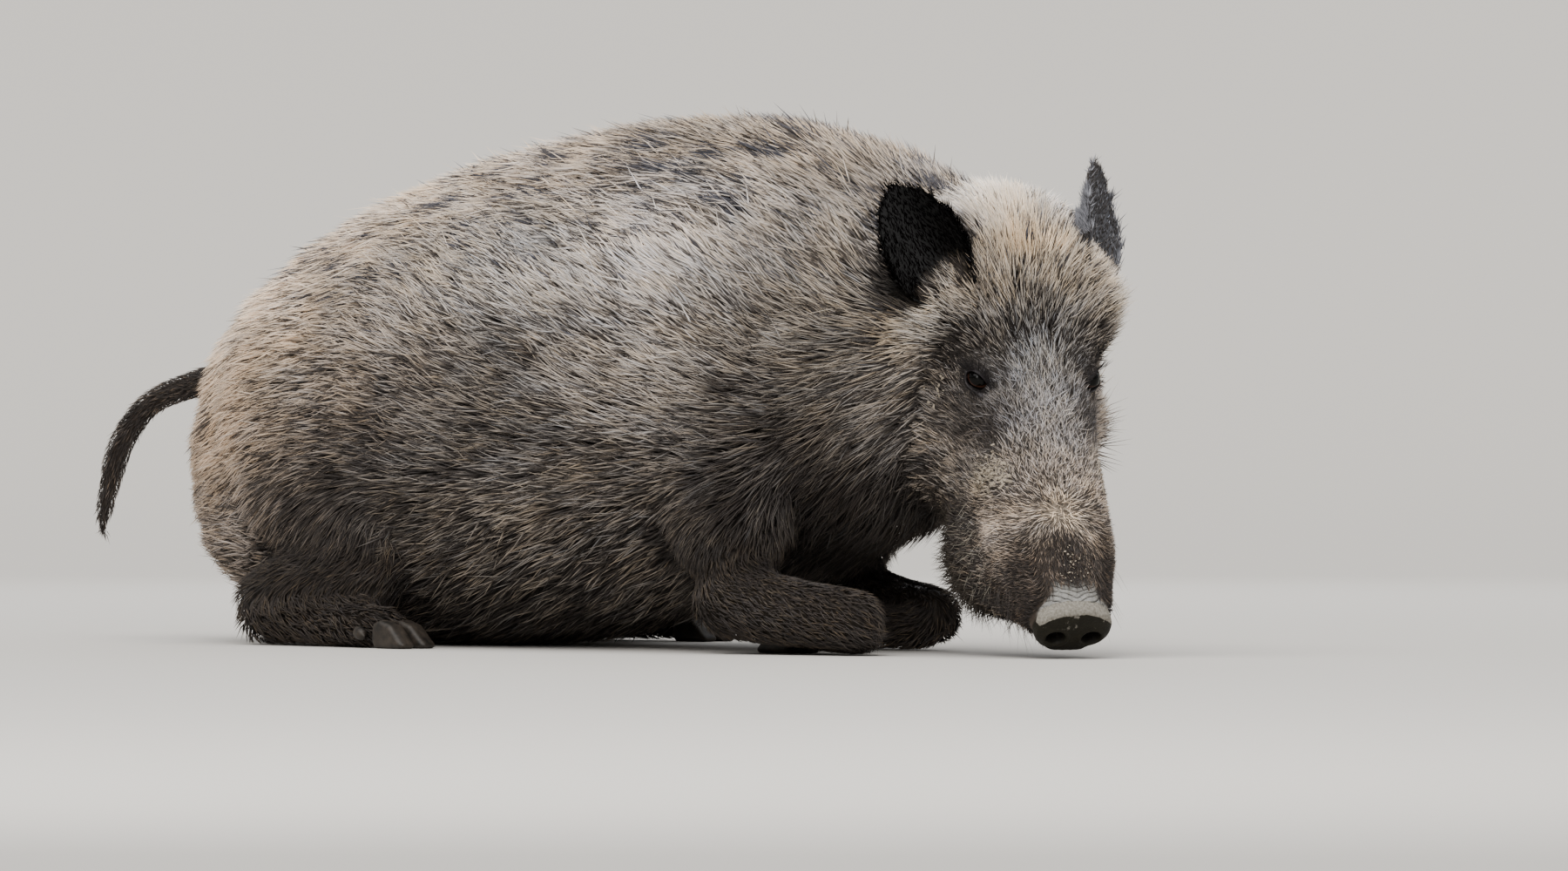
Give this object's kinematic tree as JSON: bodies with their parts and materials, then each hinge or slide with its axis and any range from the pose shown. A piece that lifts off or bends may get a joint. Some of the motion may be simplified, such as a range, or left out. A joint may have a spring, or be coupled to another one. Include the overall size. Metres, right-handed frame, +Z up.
{
  "type": "wild boar",
  "caption": "Life-size still model of an adult wild boar lying on its belly with folded legs, head low and turned to its right.",
  "frame": {"origin": "under the middle of the boar, on the floor it lies on", "axes": "+X from rump to head along the spine, +Y to the boar's left, +Z up"},
  "size_m": [1.529, 0.5222, 0.5628],
  "materials": {
    "bristle_coat": "coarse grey-brown bristles with buff tips",
    "dark_coat": "short black-brown hair",
    "snout_leather": "bare grey nose leather with dried mud on its rim",
    "eye": "wet dark brown",
    "hoof_horn": "worn dark horn"
  },
  "bodies": {
    "root": {"trunk": "bristle_coat", "neck": "bristle_coat", "head": "bristle_coat", "lower_jaw": "bristle_coat", "tail": "dark_coat", "ear_left": "dark_coat", "ear_right": "dark_coat", "eye_left": "eye", "eye_right": "eye", "snout_disc": "snout_leather", "foreleg_left": "dark_coat", "foreleg_left_hoof_inner": "hoof_horn", "foreleg_left_dewclaw_inner": "hoof_horn", "foreleg_left_hoof_outer": "hoof_horn", "foreleg_left_dewclaw_outer": "hoof_horn", "foreleg_right": "dark_coat", "foreleg_right_hoof_inner": "hoof_horn", "foreleg_right_dewclaw_inner": "hoof_horn", "foreleg_right_hoof_outer": "hoof_horn", "foreleg_right_dewclaw_outer": "hoof_horn", "hindleg_left": "dark_coat", "hindleg_left_hoof_inner": "hoof_horn", "hindleg_left_dewclaw_inner": "hoof_horn", "hindleg_left_hoof_outer": "hoof_horn", "hindleg_left_dewclaw_outer": "hoof_horn", "hindleg_right": "dark_coat", "hindleg_right_hoof_inner": "hoof_horn", "hindleg_right_dewclaw_inner": "hoof_horn", "hindleg_right_hoof_outer": "hoof_horn", "hindleg_right_dewclaw_outer": "hoof_horn"}
  },
  "joints": []
}
